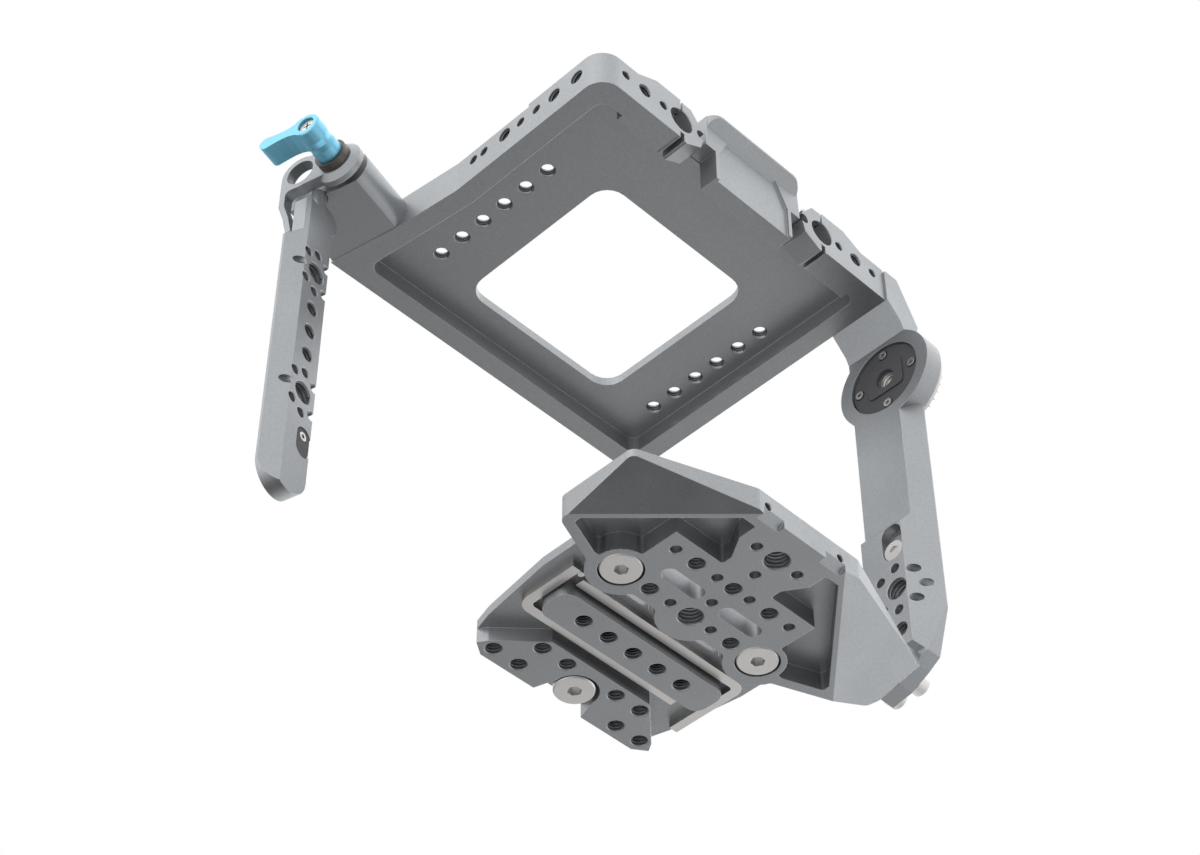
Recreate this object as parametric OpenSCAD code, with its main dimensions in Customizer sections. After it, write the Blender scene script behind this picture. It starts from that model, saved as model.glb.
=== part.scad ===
/* [Mounting grid] */
// Pitch of the mounting-hole grid
grid = 12.7; // [12.2:0.1:13.2]
// Radius of the large mounting thread
big_r = 4.7625; // [4:0.05:4.8]
// Radius of the small mounting thread
small_r = 3.175; // [2.4:0.05:3.3]
// Radius of a locating-pin hole
pin_r = 2.1; // [1.4:0.1:2.3]
// Distance from a large thread to its locating pins
pin_off = 10.55; // [10.2:0.05:11]
// Chamfer at the mouth of a hole
mouth = 0.3; // [0.1:0.05:0.4]

/* [Base plate] */
// Thickness of the base plate
base_t = 10.6; // [9.5:0.1:13]
// Distance from the main thread to the front edge
base_front = 55.7; // [54:0.1:60]
// Length of the straight front edge to the left
front_left = 23.5; // [21:0.5:30]
// Length of the straight front edge to the right
front_right = 28.9; // [24:0.1:34]
// Angle of the slanted front walls of the wings
wing_angle = 20.4; // [17:0.2:24]
// Distance from the main thread to the left wing's outer face
left_x = 69.4; // [66:0.2:74]
// Sum of x and y along the crease where the underside starts to rise
crease = 76.8; // [75:0.2:80]
// Angle of the rising underside
crease_angle = 18.8; // [14:0.2:19.5]
// Thickness of the web over the rails
web_t = 4.1; // [3:0.1:5]
// Distance from the main thread to the base plate's rear edge
base_rear = 68.9; // [67.5:0.1:74]
// Distance from the main thread to the front edge of the rear pad
pad_front = 45.4; // [45:0.1:47]
// Side distance of the two front base screws
boss_x = 35.7; // [34.5:0.1:37]
// Distance to the rear base screw
rear_screw_y = 59.7; // [58.5:0.1:61]
// Radius of a base screw's head
head_r = 8.1; // [7:0.1:8.6]

/* [Centre strip and rails] */
// Length of the centre strip
strip_l = 83.6; // [70:0.2:84]
// Width of the centre strip
strip_w = 15.6; // [13:0.2:16]
// Distance from the main thread to the strip's middle
strip_y = 29.1; // [28.8:0.1:29.4]
// Width of a rail
rail_w = 4; // [3:0.1:4.2]
// Thickness of a rail
rail_t = 3; // [2:0.1:4]
// Radius of a rail's outer corner
rail_corner = 5.5; // [5:0.1:7]

/* [Right arm] */
// Inner face of the right arm, measured from the main thread
arm_x = 90.3; // [88:0.1:94]
// Thickness of the right arm
arm_t = 7.6; // [7:0.1:9]
// Width of the right arm
arm_w = 30.6; // [30:0.1:34]
// Distance that the arm's hole line lies in front of the main thread
arm_y = 28.1; // [27.6:0.1:28.6]
// Size of the bevel on the arm's front inner edge
arm_bevel = 7; // [5:0.1:7.4]
// Height of the rosette's centre
rosette_z = 168.4; // [160:0.1:172]
// Radius of the rosette disc
rosette_r = 22; // [20:0.1:22.8]
// Thickness of the rosette disc
rosette_t = 3.5; // [3:0.1:5]

/* [Top plate] */
// Height of the top plate's lower rim
top_z = 199.6; // [196:0.1:205]
// Height of the top plate's rim
rim_h = 18.8; // [18:0.1:20]
// Width of the top plate's rim
rim_w = 9; // [8:0.1:11]
// Thickness of the top plate's web
top_web_t = 4.5; // [3.5:0.1:6]
// Distance from the main thread to the top plate's front face
top_front = 42.3; // [42:0.1:43]
// Distance from the main thread to the top plate's left face
top_left = 87.2; // [86:0.1:89]
// Side distance of a rod clamp's bore
rod_x = 42.1; // [41.6:0.1:43]
// Radius of a rod clamp's bore
rod_r = 6.2; // [5.2:0.1:6.4]

/* [Nose] */
// Half width of the nose
nose_half = 28; // [27:0.1:28.2]
// Height of the nose's top above the top plate's lower rim
nose_top = 27.4; // [26.4:0.1:30.4]
// Distance that the nose stands in front of the top plate
nose_reach = 4.1; // [3:0.1:6]

/* [Lever clamp] */
// Angle of the lever clamp and its arm from the plate's side
clamp_turn = 14.5; // [12:0.5:16]
// Radius of the clamp round its bolt
clamp_r = 10.6; // [10.2:0.1:11]
// Thickness of the jaw
jaw_t = 5; // [4:0.1:5.4]
// Gap between the jaw and the block
jaw_gap = 3; // [2:0.1:3.4]
// Radius of the clamp bolt
bolt_r = 3; // [2.5:0.1:3.2]
// Length of the lever's hub
hub_l = 17; // [15:0.2:20]
// Largest radius of the lever's hub
hub_r = 5.8; // [5.6:0.1:6.2]
// Length of the lever from its axis to its tip
lever_l = 22.5; // [19:0.5:26]
// Width of the lever's arm along its axis
lever_w = 10; // [8:0.2:11]

/* [Side arm] */
// Thickness of the side arm
side_t = 7.2; // [7:0.1:9]
// Width of the side arm
side_w = 21.5; // [20:0.1:23]
// Height of the side arm's lower end
side_low = 32.5; // [28:0.5:36]
// Height of the upper large thread in the side arm
side_high_z = 152.3; // [150:0.1:154]
// Height of the lower large thread in the side arm
side_low_z = 85.3; // [84:0.1:87]

/* [Hidden] */
$fn = 48;
// Overrun of every cut
over = 0.5;
// Clearance between seated pieces
seat_gap = 0.3;
// Running clearance round a turning or sliding pin
run_gap = 0.05;
// Gap between the lever hub and its washer
hub_gap = 0.1;
// Segments of a rounded outline
round_fn = 24;

// Web and rails
web_z = base_t - web_t;
rail_z = web_z - rail_t;
pocket_floor = 2.2;
pocket_wall = 2;
// Half width of the web at its front, at the rear pad and at its rear corners
web_half = 52;
web_mid_half = 47.5;
web_rear_half = 39.3;
web_front_y = 4.5;
web_wide_y = 23;
web_mid_y = 56;
web_corner_y = 65;
// Radius of the bosses round the main thread and the front screws
boss_r = 13.3;
// Place of the edge between the bosses
neck_y = 6.1;
wing_back = 3.5;
// Front end of a wing's outer faces
left_front = base_front - (left_x - front_left) * tan(wing_angle);
right_front = base_front - (arm_x - front_right) * tan(wing_angle);
right_back = 12.3;
right_corner = 2.5;
ear_z = 17.4;
ear_l = 10.4;
// Islands between the pockets
island_half = 36.2;
island_front = 27.7;
island_neck = 12.8;
island_shoulder = 32.1;
island_nose = 18.4;
island_step = 41.1;
pocket_side = 64.9;
pocket_tip = 49;
pocket_back = 6.1;
pocket_ring = 11;
// Slots in the front pad
slot_in = 8.2;
slot_out = 21.6;
slot_r = 3.25;
// Small holes in the front face
front_hole_x = 18.9;
front_hole_z = 5;
front_hole_r = 1.6;
front_hole_depth = 9;
// Chamfer of the front edge
front_chamfer = 2.4;
front_chamfer_in = 10.8;
front_chamfer_out = 21.4;
// Rear pad
pad_half = 42.6;
pad_in = 25.4;
pad_side_y = 61.2;
notch_r = 9.5;
row_one_y = 50.5;
// Hollow between the front pad and the front rail
hollow_in = 8;
hollow_out = 29;
hollow_y = 13.2;

// Base screws
screw_clear = 0.5;
shank_r = 3;
shank_up = 6;
hex_r = 2.9;
hex_deep = 2.6;
head_bevel = 0.5;
head_sink = 0.2;

// Rails, from the ends of the centre strip
rail_gap = 1.8;
rail_pin_in = 1;
rail_front_in = 3.2;
rail_rear_in = 7.8;
rail_front_y = 16;
rail_front_left = strip_l / 2 - rail_front_in;
rail_front_right = strip_l / 2 + rail_gap + rail_w;
rail_front_back = 52.6;
rail_rear_y = 38.8;
rail_rear_left = strip_l / 2 + rail_gap + rail_w - rail_pin_in;
rail_rear_right = strip_l / 2 - rail_rear_in;
rail_rear_front = 13.2;
strip_corner = 5;
rail_pin_r = 1.3;

// Right arm
arm_front = arm_y + arm_w / 2;
arm_out = arm_x + arm_t;
arm_pad = 3.2;
arm_pad_top = 83.5;
arm_pad_low = 22;
arm_pad_chamfer = 4;
arm_foot_z = 6.7;
// Foot of the right arm: steps back from its front, and rises above its foot
foot_backs = [20.9, 11.9, 6.3];
foot_rises = [1.8, 6.6, 10.5, 31.5];
seam_in = 9.3;
arm_seam = arm_x - seam_in;
// The arm's upper end, from the top plate's upper and lower rims
arm_top_drop = 0.9;
arm_top = top_z + rim_h - arm_top_drop;
arm_shoulder_step = 2.3;
arm_shoulder_out = arm_out + arm_shoulder_step;
arm_shoulder_drop = 3.3;
arm_shoulder_z = top_z - arm_shoulder_drop;
arm_inner_drop = 11.6;
arm_inner_z = top_z - arm_inner_drop;
arm_round = 9;
arm_big_z = 4 * grid;
arm_small_z = arm_big_z - 1.62 * grid;
arm_slot_low = 71;
arm_slot_high = 79;
arm_slot_r = 4.9;
foot_screw_z = 13.6;
foot_screw_one = 23.5;
foot_screw_two = 12.5;
cap_r = 4.2;
cap_h = 4.6;
cap_shank_r = 2.4;
cap_shank_l = 9;
// Rosette
house_r = rosette_r + 1.5;
house_t = 1.3;
insert_r = 17.6;
insert_t = 2.4;
bush_r = 4.2;
ring_r = 14;
ring_screw_r = 2;
teeth = 40;

// Top plate
top_seam = arm_seam;
top_side_z = top_z + rim_h;
hole_z = top_z + 11.6;
top_corner = 9.5;
top_web_z = top_z + 8.4;
top_flare_y = 40.8;
top_rear = 106.5;
top_rear_left = 97.5;
ear_rise = 5.1;
ear_top = top_side_z + ear_rise;
ear_drop = 1.1;
rod_end = 28.9;
rod_slit = 1.2;
rod_depth = 12;
rod_screw_r = 1.25;

// Nose
nose_drop = 7.6;
nose_z = top_z - nose_drop;
nose_up = top_z + nose_top;
nose_top_half = 27.2;
nose_round = 6;
nose_lip = 0.9;
nose_edge = 2.3;
nose_slope = 4.6;
nose_wing_rise = 8.8;
nose_wing_z = top_z + nose_wing_rise;
pad_half_top = 13.6;
pad_half_in = 20.7;
pad_half_low = 22.4;

// Lever clamp, in its own turned frame: x along the bolt, y to the rear
clamp_y = 50.6;
clamp_rise = 9.2;
clamp_z = top_z + clamp_rise;
block_x = -111.5;
jaw_in = block_x - jaw_gap;
jaw_out = jaw_in - jaw_t;
post_out = 0.2;
post_x = block_x + post_out;
post_r = 3.4;
post_in = 2.4;
post_top = top_z + post_in;
// Strap eye of the jaw, from the bolt
eye_y = 17.3;
eye_z = 2;
eye_r = 6.4;
eye_rim = 2.6;
// Lower edge of the jaw and its hooked finger, from the bolt
jaw_low = 6.6;
jaw_bevel = 2.5;
finger_y = 26.3;
finger_w = 2.6;
finger_bend = 15.1;
finger_knee = 23.9;
finger_tip = 33.3;
finger_lean = 2.9;
finger_in = 5;
washer_r = 7.2;
washer_t = 3.6;
lever_x = jaw_out - washer_t - hub_gap;
lever_tip_r = 3.2;

// Side arm, in the clamp's frame
side_y = 60;
post_y = side_y + side_t / 2 - mouth;
side_over = 7;
side_in = block_x + side_over;
side_out = side_in - side_w;
side_mid_in = 7.2;
side_mid = side_in - side_mid_in;
side_bevel = 6.4;
side_drop = 9.6;
side_top = top_z - side_drop;
neck_half = 5.5;
lobe_in = 4.5;
lobe_x = side_in - lobe_in;
lobe_drop = 3;
lobe_z = side_top - lobe_drop;
lobe_r = 7.2;
insert_drop = 23.9;
insert_z = side_low_z - insert_drop;
insert_half = 7.2;
insert_w = 4.2;
insert_deep = 3;

// Fillets and small steps of the base plate
fillet_r = 2.5;
wing_round = 3.5;
drain_x = 19.5;
drain_y = 46.6;
drain_r = 1.1;
notch_flare = 3;
crease_end = 4.5;
right_cut = 4.2;
web_corner_half = 45;
pocket_round = 1.2;
pocket_step = pocket_wall * sqrt(2);
hollow_back = 7.4;
// Right arm's small features
arm_slot_deep = 2.6;
slot_neck_r = 3.4;
slot_screw_sink = 0.6;
slot_screw_head = 1.7;
rosette_drop = 2.2;
insert_recess = 1.2;
tooth_h = 1.1;
tooth_in = 12;
tooth_half = 0.8;
// Top plate's small features
flare_mid = 3.6;
top_mid_y = 71;
ear_out = 67;
ear_in = 56.4;
ear_flat = 5.6;
ear_notch_r = 2.5;
notch_in = 2;
ear_wall = 2.4;
ear_screw_z = hole_z + rod_r + ear_wall;
ear_screw_y = 3.7;
ear_screw_l = 20;
rod_head_in = 7.4;
rod_head_r = 2.1;
rod_head_h = 2.6;
// Front holes from the rod clamp, as shares of the grid
front_row_share = 1.66;
front_pin_shares = [0.83, 2.5];
// Holes of the top plate's left side, from its front face
side_first_y = 14.7;
side_row_y = [side_first_y, side_first_y + grid, 55.9];
side_pin_y = [37.5, 46.6, 68, 74.2];
window_half = 42;
window_front = 0;
window_l = 84;
web_row_x = 63.5;
rim_step_y = 0.5;
rim_step = 1.9;
// Nose's small features
nose_recess = 1.2;
// Lever clamp's small features
block_root = -78;
block_low = top_z + seat_gap;
block_l = 27;
block_h = 17;
bolt_deep = 14;
// Travel of the lever when it is pulled out to turn freely
lever_lift = 3;
lever_seat = 7;
lever_screw_r = 3.5;
lever_screw_h = 2.6;
bolt_out = hub_l - lever_seat + lever_lift + seat_gap;
hub_shares = [0.98, 0.28, 0.86, 0.42, 0.6];
// Half widths of the lever's arm as shares of hub_r, and their places as shares of lever_l
arm_half_shares = [0.9, 0.58, 0.43, 0.38, 0.46];
arm_place_shares = [0.12, 0.24, 0.36, 0.5, 0.7];
// Side arm's small features
shoulder_drop = 24;
shoulder_z = side_top - shoulder_drop;
neck_cut = 5;
side_step = 20.7;
side_pin_x = 6;
side_pin_z = 7.4;
side_pin_out = 9.2;
side_screw_up = 3.4;
side_insert_in = 4;
side_insert_x = side_in - side_insert_in;
side_screw_r = 2;

// A hole along +z with a chamfered mouth at its start
module hole(r, depth) {
    translate([0, 0, -over]) cylinder(r = r, h = depth + 2 * over);
    translate([0, 0, -over]) cylinder(r1 = r + mouth + over, r2 = r, h = mouth + over);
}

// Holes at a list of places
module holes(places, r, depth) {
    for (p = places) translate([p[0], p[1], 0]) hole(r, depth);
}

// A slot along x between two end centres
module slot(x1, x2, r, depth) {
    translate([x1, 0, 0]) cylinder(r = r, h = depth);
    translate([x2, 0, 0]) cylinder(r = r, h = depth);
    translate([x1, -r, 0]) cube([x2 - x1, 2 * r, depth]);
}

// Rounds the outer corners of an outline
module rounded(r) {
    offset(r = r, $fn = round_fn) offset(delta = -r) children();
}

// Rounds the inner corners of an outline
module filleted(r) {
    offset(r = -r, $fn = round_fn) offset(delta = r) children();
}

// Turns the drilling direction from +z to the named one
module along_y() {
    rotate([-90, 0, 0]) children();
}
module along_x() {
    rotate([0, 90, 0]) children();
}

// Frame of the lever clamp
module clamp_frame() {
    translate([0, row_one_y, 0]) rotate([0, 0, clamp_turn]) children();
}

module front_pad_outline() {
    filleted(fillet_r) {
        rounded(wing_round) polygon([
            [-front_left, -base_front], [front_right, -base_front],
            [arm_x, -right_front], [arm_x, -right_back],
            [arm_x - right_corner, -right_back + right_cut],
            [crease - crease_end, -crease_end], [boss_x + boss_r, web_front_y], [boss_x, neck_y],
            [-boss_x, neck_y], [-boss_x - boss_r, web_front_y],
            [-left_x, -wing_back], [-left_x, -left_front]]);
        for (x = [-boss_x, 0, boss_x]) translate([x, 0]) circle(r = boss_r);
    }
}

module web_outline() {
    polygon([
        [-web_half, -web_front_y], [web_half, -web_front_y], [web_half, web_wide_y],
        [web_mid_half, web_mid_y], [web_corner_half, web_corner_y], [web_rear_half, base_rear],
        [-web_rear_half, base_rear], [-web_corner_half, web_corner_y], [-web_mid_half, web_mid_y],
        [-web_half, web_wide_y]]);
}

module rear_pad_outline() {
    difference() {
        polygon([
            [-pad_in, pad_front], [pad_in, pad_front], [pad_half, pad_side_y],
            [web_corner_half, web_corner_y], [web_rear_half, base_rear],
            [-web_rear_half, base_rear], [-web_corner_half, web_corner_y], [-pad_half, pad_side_y]]);
        translate([0, rear_screw_y]) circle(r = notch_r);
        polygon([
            [-notch_r, rear_screw_y], [notch_r, rear_screw_y], [notch_r + notch_flare, base_rear + over],
            [-notch_r - notch_flare, base_rear + over]]);
    }
}

// One weight-saving pocket beside the holes, on the right
module pocket_outline() {
    rounded(pocket_round) difference() {
        polygon([
            [pocket_side, pocket_side - crease + pocket_step],
            [crease - pocket_step - pocket_tip, -pocket_tip],
            [island_nose, -pocket_tip], [island_nose, -island_step], [island_neck, -island_shoulder],
            [island_neck, -island_front], [island_half, -island_front], [island_half, 0],
            [boss_x + boss_r, 0], [pocket_side, -pocket_back]]);
        translate([boss_x, 0]) circle(r = pocket_ring);
    }
}

module base_plate() {
    color("dimgray") difference() {
        union() {
            linear_extrude(base_t) front_pad_outline();
            translate([0, 0, web_z]) linear_extrude(web_t) web_outline();
            linear_extrude(base_t) rear_pad_outline();
            // Raised ear that takes the arm's foot screws
            translate([arm_x - ear_l, -right_front, web_z])
                cube([ear_l, right_front - right_back, ear_z - web_z]);
        }
        // Undersides that rise outside the creases
        for (side = [225, 315]) rotate([0, 0, side]) translate([crease / sqrt(2), 0, 0])
            rotate([0, -crease_angle, 0]) translate([0, -crease, -base_t]) cube([crease, 2 * crease, base_t]);
        // Slanted front of the ear
        translate([front_right, -base_front, 0]) rotate([0, 0, wing_angle])
            translate([0, -base_front, -over]) cube([2 * arm_x, base_front, 2 * ear_z]);
        for (side = [0, 1]) mirror([side, 0, 0]) translate([0, 0, -over])
            linear_extrude(base_t - pocket_floor + over) pocket_outline();
        // Threads and pins in the front pad
        holes([[0, 0], [0, -4 * pin_off]], big_r, base_t);
        holes([[-2 * pin_off, 0], [2 * pin_off, 0], [0, -2 * pin_off],
            [-1.8 * pin_off, -2 * pin_off], [1.8 * pin_off, -2 * pin_off]], small_r, base_t);
        holes([[-pin_off, 0], [pin_off, 0], [0, -pin_off], [0, -3 * pin_off],
            [-pin_off, -4 * pin_off], [pin_off, -4 * pin_off],
            [-0.8 * pin_off, -2 * pin_off], [0.8 * pin_off, -2 * pin_off],
            [-2.8 * pin_off, -2 * pin_off], [2.8 * pin_off, -2 * pin_off]], pin_r, base_t);
        for (side = [0, 1]) mirror([side, 0, 0]) {
            translate([0, -pin_off, -over]) slot(slot_in, slot_out, slot_r, base_t + 2 * over);
            // Screw seat
            translate([boss_x, 0, -over]) cylinder(r = head_r + screw_clear, h = web_z + over);
            translate([boss_x, 0, -over]) cylinder(r = shank_r + seat_gap, h = base_t + 2 * over);
            // Hollow before the front rail
            translate([hollow_in, hollow_back, web_z])
                cube([hollow_out - hollow_in, hollow_y - hollow_back, web_t + over]);
            // Rear pad threads
            for (p = [[1, row_one_y], [2, row_one_y], [2, row_one_y + grid], [3, row_one_y + grid]])
                translate([p[0] * grid, p[1], 0]) hole(small_r, base_t);
            // Threads in the front face
            translate([front_hole_x, -base_front, front_hole_z]) along_y()
                hole(front_hole_r, front_hole_depth);
            // Chamfer of the front edge
            translate([front_chamfer_in, -base_front, 0]) rotate([45, 0, 0])
                translate([0, -front_chamfer, -front_chamfer])
                cube([front_chamfer_out - front_chamfer_in, 2 * front_chamfer, 2 * front_chamfer]);
        }
        translate([0, rear_screw_y, -over]) cylinder(r = shank_r + seat_gap, h = base_t + 2 * over);
        translate([-drain_x, -drain_y, -over]) cylinder(r = drain_r, h = base_t + 2 * over);
        // Threads for the foot screws
        for (y = [foot_screw_one, foot_screw_two]) translate([arm_x, -y, foot_screw_z])
            rotate([0, -90, 0]) translate([0, 0, -over])
                cylinder(r = cap_shank_r + seat_gap, h = ear_l - over);
    }
}

module centre_strip() {
    color("gray") difference() {
        translate([-strip_l / 2, strip_y - strip_w / 2, 0]) linear_extrude(web_z)
            rounded(strip_corner) square([strip_l, strip_w]);
        for (i = [-2:2]) translate([i * grid, strip_y, 0]) hole(small_r, web_z);
    }
}

module rail_front() {
    color("silver") translate([-rail_front_left, rail_front_y, rail_z]) linear_extrude(rail_t)
        rail_shape(rail_front_left + rail_front_right, rail_front_back - rail_front_y);
}

module rail_rear() {
    color("silver") translate([rail_rear_right, rail_rear_y + rail_w, rail_z]) rotate([0, 0, 180])
        linear_extrude(rail_t)
            rail_shape(rail_rear_left + rail_rear_right, rail_rear_y + rail_w - rail_rear_front);
}

// Angled rail: a bar along x, a rounded corner at its far end and an arm back
module rail_shape(bar, arm) {
    square([bar - rail_corner, rail_w]);
    translate([bar - rail_w, rail_corner]) square([rail_w, arm - rail_corner]);
    translate([bar - rail_corner, rail_corner]) difference() {
        circle(r = rail_corner);
        circle(r = rail_corner - rail_w);
        translate([-rail_corner, -rail_corner]) square([rail_corner, 2 * rail_corner]);
        translate([-rail_corner, 0]) square(2 * rail_corner);
    }
}

module rail_pin() {
    color("silver") translate([-rail_rear_left + rail_w + rail_pin_r, rail_rear_front + rail_pin_r, rail_z])
        cylinder(r = rail_pin_r, h = rail_t);
}

// Flat head screw with a hex socket, its head's face down
module base_screw() {
    difference() {
        union() {
            cylinder(r1 = head_r - head_bevel, r2 = head_r, h = head_bevel);
            translate([0, 0, head_bevel]) cylinder(r = head_r, h = web_z - head_sink - head_bevel);
            cylinder(r = shank_r, h = base_t - head_sink + shank_up);
        }
        translate([0, 0, -over]) cylinder(r = hex_r, h = hex_deep + over, $fn = 6);
    }
}

module base_screw_left() {
    color("silver") translate([-boss_x, 0, head_sink]) base_screw();
}
module base_screw_right() {
    color("silver") translate([boss_x, 0, head_sink]) base_screw();
}
module base_screw_rear() {
    color("silver") translate([0, rear_screw_y, head_sink]) base_screw();
}

// Front view of the right arm, from the seam down to the foot
module arm_profile() {
    polygon([
        [arm_seam, top_z], [arm_seam + arm_t, arm_inner_z + arm_t / 2], [arm_x, arm_inner_z],
        [arm_x, arm_pad_top + arm_pad_chamfer], [arm_x - arm_pad, arm_pad_top],
        [arm_x - arm_pad, arm_pad_low], [arm_x, arm_pad_low - arm_pad_chamfer], [arm_x, arm_foot_z],
        [arm_out, arm_foot_z], [arm_out, arm_shoulder_z - arm_round], [arm_shoulder_out, arm_shoulder_z],
        [arm_out - arm_round, arm_top], [arm_seam + mouth, arm_top], [arm_seam, arm_top - 2 * mouth]]);
}

// Side view of the right arm: its foot follows the wing's rise
module arm_side() {
    polygon([
        [arm_w - arm_front, arm_foot_z], [foot_backs[0] - arm_front, arm_foot_z + foot_rises[0]],
        [foot_backs[1] - arm_front, arm_foot_z + foot_rises[1]],
        [foot_backs[2] - arm_front, arm_foot_z + foot_rises[2]], [-arm_front, arm_foot_z + foot_rises[3]],
        [-arm_front, arm_top + over], [arm_w - arm_front, arm_top + over]]);
}

module right_arm() {
    color("gray") difference() {
        union() {
            difference() {
                intersection() {
                    translate([0, arm_w - arm_front, 0]) rotate([90, 0, 0])
                        linear_extrude(arm_w) arm_profile();
                    translate([arm_seam - over, 0, 0]) rotate([90, 0, 90])
                        linear_extrude(2 * arm_w) arm_side();
                }
                // Bevel of the front inner edge
                translate([arm_x, -arm_front + arm_bevel, arm_foot_z - over]) rotate([0, 0, 225])
                    translate([0, -arm_w, 0]) cube([arm_w, 2 * arm_w, arm_inner_z - arm_foot_z]);
            }
            // Round housing of the rosette
            translate([arm_x, -arm_y - rosette_drop, rosette_z]) along_x()
                cylinder(r = house_r, h = arm_t + house_t);
        }
        // Locating thread with its pins
        translate([arm_x - arm_pad, -arm_y, arm_big_z]) along_x() {
            hole(big_r, arm_t + arm_pad);
            for (a = [0:45:315]) rotate([0, 0, a])
                translate([pin_off, 0, 0]) hole(pin_r, arm_t + arm_pad);
        }
        translate([arm_x - arm_pad, -arm_y, arm_small_z]) along_x() hole(small_r, arm_t + arm_pad);
        // Slot of the captive screw
        translate([arm_x - arm_pad - over, -arm_y, 0]) rotate([0, 90, 0])
            slot(-arm_slot_high, -arm_slot_low, arm_slot_r, arm_pad + arm_slot_deep);
        translate([arm_x - arm_pad - over, -arm_y, 0]) rotate([0, 90, 0])
            slot(-arm_slot_high, -arm_slot_low, slot_neck_r, arm_t + arm_pad + 2 * over);
        // Foot screws
        for (y = [foot_screw_one, foot_screw_two]) translate([arm_x - over, -y, foot_screw_z]) along_x()
            cylinder(r = cap_shank_r + seat_gap, h = arm_t + 2 * over);
        // Rosette's bush and ring screws
        translate([arm_x - over, -arm_y - rosette_drop, rosette_z]) along_x() {
            cylinder(r = insert_r, h = insert_t + over);
            cylinder(r = bush_r + seat_gap, h = arm_t + house_t + 2 * over);
            for (a = [0:90:270]) rotate([0, 0, a]) translate([ring_r, 0, 0])
                cylinder(r = ring_screw_r + seat_gap, h = arm_t + house_t + 2 * over);
        }
    }
}

// Cap head screw along +x with its head outside
module cap_screw() {
    difference() {
        union() {
            cylinder(r = cap_r, h = cap_h);
            translate([0, 0, -cap_shank_l]) cylinder(r = cap_shank_r, h = cap_shank_l);
        }
        translate([0, 0, cap_h - hex_deep]) cylinder(r = cap_shank_r, h = cap_h, $fn = 6);
    }
}

module foot_screw(y) {
    color("silver") translate([arm_out, -y, foot_screw_z]) along_x() cap_screw();
}
module foot_screw_front() foot_screw(foot_screw_one);
module foot_screw_rear() foot_screw(foot_screw_two);

module slot_screw() {
    color("silver") translate([arm_x - arm_pad + slot_screw_sink, -arm_y, arm_slot_low]) along_x()
    difference() {
        union() {
            cylinder(r = arm_slot_r - seat_gap, h = slot_screw_head);
            cylinder(r = slot_neck_r - seat_gap, h = arm_t + arm_pad - slot_screw_sink + cap_h);
        }
        translate([0, 0, -over]) cylinder(r = cap_shank_r, h = slot_screw_head - over, $fn = 6);
    }
}

module rosette_frame() {
    translate([arm_x, -arm_y - rosette_drop, rosette_z]) along_x() children();
}

module rosette_disc() {
    color("silver") rosette_frame() translate([0, 0, arm_t + house_t]) difference() {
        union() {
            cylinder(r = rosette_r, h = rosette_t - tooth_h);
            // Radial teeth of the rosette
            for (i = [0:teeth - 1]) rotate([0, 0, i * 360 / teeth])
                translate([tooth_in, 0, rosette_t - tooth_h])
                rotate([0, 90, 0]) linear_extrude(rosette_r - tooth_in)
                polygon([[over, -tooth_half], [-tooth_h, 0], [over, tooth_half]]);
        }
        translate([0, 0, -over]) cylinder(r = small_r, h = rosette_t + 2 * over);
    }
}

module rosette_insert() {
    color("dimgray") rosette_frame() difference() {
        translate([0, 0, insert_recess]) cylinder(r = insert_r - seat_gap, h = insert_t - insert_recess);
        translate([0, 0, -over]) cylinder(r = bush_r + seat_gap, h = insert_t + 2 * over);
        for (a = [0:90:270]) rotate([0, 0, a]) translate([ring_r, 0, -over])
            cylinder(r = ring_screw_r + seat_gap, h = insert_t + 2 * over);
    }
}

module rosette_bush() {
    color("silver") rosette_frame() translate([0, 0, insert_t]) difference() {
        cylinder(r = bush_r, h = arm_t + house_t - insert_t);
        translate([0, 0, -over]) cylinder(r = small_r, h = arm_t + house_t + over);
    }
}

module rosette_screws() {
    color("silver") rosette_frame() for (a = [0:90:270]) rotate([0, 0, a])
        translate([ring_r, 0, insert_recess / 2])
        difference() {
            cylinder(r = ring_screw_r, h = arm_t + house_t - insert_recess / 2);
            translate([0, 0, -over]) cylinder(r = ring_screw_r / 2, h = insert_t, $fn = 6);
        }
}

// Plan of the top plate with its flare to the lever clamp
module top_outline() {
    difference() {
        polygon([
            [-top_left, -top_front], [top_seam, -top_front], [top_seam, top_rear],
            [-top_rear_left, top_rear], [-top_left - flare_mid, top_mid_y], [-top_left, top_flare_y]]);
        translate([-top_left, -top_front]) difference() {
            square(top_corner);
            translate([top_corner, top_corner]) circle(r = top_corner);
        }
    }
}

module top_inner() {
    rounded(top_corner / 2) polygon([
        [-top_left + rim_w, -top_front + rim_w], [top_seam - rim_w, -top_front + rim_w],
        [top_seam - rim_w, top_rear - rim_w], [-top_rear_left + rim_w + flare_mid, top_rear - rim_w],
        [-top_left + rim_w, top_flare_y]]);
}

// Front view of one rod clamp, on the right
module ear_profile() {
    polygon([
        [rod_end, hole_z + rod_slit], [rod_end + 2 * rod_slit, top_z + 3 * rod_slit],
        [rod_x - 2 * rod_slit, top_z - ear_drop], [rod_x + 2 * rod_slit, top_z], [ear_out, top_z],
        [ear_out, top_side_z], [ear_in, ear_top], [rod_x, ear_top],
        [rod_x - rod_slit, ear_top - ear_drop], [rod_x - ear_flat, ear_top - ear_drop],
        [rod_end + rod_slit, hole_z + 2.7 * rod_slit]]);
}

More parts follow.
